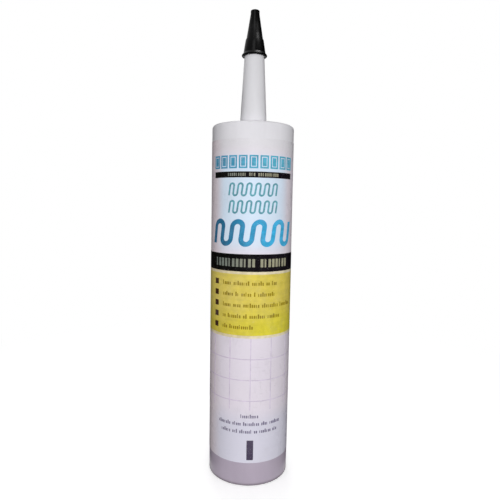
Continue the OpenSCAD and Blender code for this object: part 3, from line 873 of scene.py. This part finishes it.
def looked_at(tree):
    """A share that is 1 for what is seen, also in gloss or through a clear thing, and 0 for what gives light."""
    rays = tree.nodes.new("ShaderNodeLightPath")
    seen = number(tree, "MAXIMUM", rays.outputs["Is Camera Ray"], rays.outputs["Is Glossy Ray"])
    return number(tree, "MAXIMUM", seen, rays.outputs["Is Transmission Ray"])


def blended(tree, share, a, b):
    """Two shaders mixed by a share."""
    made = tree.nodes.new("ShaderNodeMixShader")
    fed(tree, made.inputs, (share, a, b))
    return made.outputs[0]


def glow(tree, strength):
    """A plain white glow. Its strength is a number or a socket."""
    made = tree.nodes.new("ShaderNodeEmission")
    fed(tree, [made.inputs["Strength"]], [strength])
    return made.outputs[0]


bm = bmesh.new()
bmesh.ops.create_grid(bm, x_segments=1, y_segments=1, size=floor_half_w)
floor = finished("floor", bm)
paper, tree, shader = material("floor_paper")
tree.nodes.remove(shader)
reach = tree.nodes.new("ShaderNodeVectorMath")
reach.operation = "LENGTH"
tree.links.new(tree.nodes.new("ShaderNodeTexCoord").outputs["Object"], reach.inputs[0])
from_axis = reach.outputs["Value"]
shaded = tree.nodes.new("ShaderNodeBsdfDiffuse")
shaded.inputs["Color"].default_value = paper_colour
near = tree.nodes.new("ShaderNodeAddShader")
fed(tree, near.inputs, (shaded.outputs[0], glow(tree, paper_lift)))
looks = blended(tree, remapped(tree, from_axis, *shadow_to_white), near.outputs[0], glow(tree, 1.0))
lights = glow(tree, remapped(tree, from_axis, *within_mouth, to_low=mouth_glow, to_high=floor_glow))
from_below = tree.nodes.new("ShaderNodeNewGeometry").outputs["Backfacing"]
through = tree.nodes.new("ShaderNodeBsdfTransparent").outputs[0]
both_sides = blended(tree, from_below, blended(tree, looked_at(tree), lights, looks), through)
tree.links.new(both_sides, tree.nodes["Material Output"].inputs["Surface"])
floor.data.materials.append(paper)

# The room is plain white where it is seen or mirrored, so that the tube stands on white as in a studio. Where
# it lights the tube it is dim, so that the lamps give the tube its form.
room_fill = 0.38
world = bpy.data.worlds.new("room")
world.use_nodes = True
bpy.context.scene.world = world
tree = world.node_tree
dim = tree.nodes["Background"]
white = tree.nodes.new("ShaderNodeBackground")
for background, strength in ((dim, room_fill), (white, 1.0)):
    background.inputs["Color"].default_value = (1, 1, 1, 1)
    background.inputs["Strength"].default_value = strength
room = blended(tree, looked_at(tree), dim.outputs[0], white.outputs[0])
tree.links.new(room, tree.nodes["World Output"].inputs["Surface"])

# Two black cards stand close beside the tube and are seen only in its gloss. They give the dark line down both
# outlines. The right one is taller, for the cap.
card_x = 0.03
card_half_l = 0.35
card_black, tree, shader = material("card_black")
tree.nodes.remove(shader)
dull = tree.nodes.new("ShaderNodeBsdfDiffuse")
dull.inputs["Color"].default_value = (0, 0, 0, 1)
tree.links.new(dull.outputs[0], tree.nodes["Material Output"].inputs["Surface"])
for side, card_h in ((-1, 0.25), (1, 0.45)):
    bm = bmesh.new()
    upright = Matrix.Translation((side * card_x, 0, card_h / 2)) @ Matrix.Rotation(math.pi / 2, 4, "Y")
    bmesh.ops.create_grid(bm, x_segments=1, y_segments=1, size=0.5,
                          matrix=upright @ Matrix.Diagonal((card_h, card_half_l * 2, 1, 1)))
    card = finished("black_card", bm)
    card.data.materials.append(card_black)
    card.visible_camera = False
    card.visible_diffuse = False
    card.visible_transmission = False
    card.visible_shadow = False

# Soft lamps stand in front and behind, a small one near the camera is its flash, and a weak one hangs above the
# shoulder. None of them is mirrored in the tube.
tube_middle_z = 0.14
flash_z = 0.15


def lamp(name, place, target, size, power):
    """A square soft light at a place, aimed at a target."""
    data = bpy.data.lights.new(name, "AREA")
    data.size = size
    data.energy = power
    made = bpy.data.objects.new(name, data)
    made.location = place
    made.rotation_euler = (Vector(target) - Vector(place)).to_track_quat("-Z", "Y").to_euler()
    bpy.context.scene.collection.objects.link(made)
    return made


for name, place, aim_z, size, power in (
    ("front_light", (0.06, -0.89, 0.24), tube_middle_z, 0.5, 5.95),
    ("back_light", (-0.1, 0.9, 0.3), tube_middle_z, 0.4, 3.6),
    ("flash", (0.006, -0.42, flash_z), flash_z, 0.05, 0.1),
    ("top_light", (0, 0.1, 1.2), tube_middle_z, 0.5, 1.0),
):
    lamp(name, place, (0, 0, aim_z), size, power).visible_glossy = False

# Two more lamps only draw the gleams on the black cap, one down its front and one on the right of its collar
# and cone, and light nothing else.
cap_middle = (0, 0, 0.26)
cap_only = bpy.data.collections.new("cap_only")
cap_only.objects.link(cap)
for name, place, size, power in (
    ("front_gleam", (0.02, -0.72, 0.7), 0.6, 4),
    ("top_gleam", (0.27, -0.05, 1.0), 0.3, 45),
):
    gleam = lamp(name, place, cap_middle, size, power)
    gleam.visible_diffuse = False
    gleam.light_linking.receiver_collection = cap_only

# The camera stands square to the front of the print, a little above the tube's middle, and looks down on it
# slightly. Its focal length and roll are those that the tube's outline has in the photograph.
photo_size = 500
focal_px = 478.04
camera_place = (-0.0006, -0.30007, 0.1681)
pitch_down = math.radians(5.157)
yaw_right = math.radians(-0.0267)
roll = math.radians(0.95)
camera_data = bpy.data.cameras.new("camera")
camera_data.sensor_width = 36
camera_data.lens = focal_px / photo_size * camera_data.sensor_width
camera_data.clip_start = 0.01
camera = bpy.data.objects.new("camera", camera_data)
camera.matrix_world = (
    Matrix.Translation(camera_place)
    @ Matrix.Rotation(-yaw_right, 4, "Z")
    @ Matrix.Rotation(math.pi / 2 - pitch_down, 4, "X")
    @ Matrix.Rotation(roll, 4, "Z")
)
bpy.context.scene.collection.objects.link(camera)
bpy.context.scene.camera = camera
bpy.context.scene.view_settings.view_transform = "Standard"
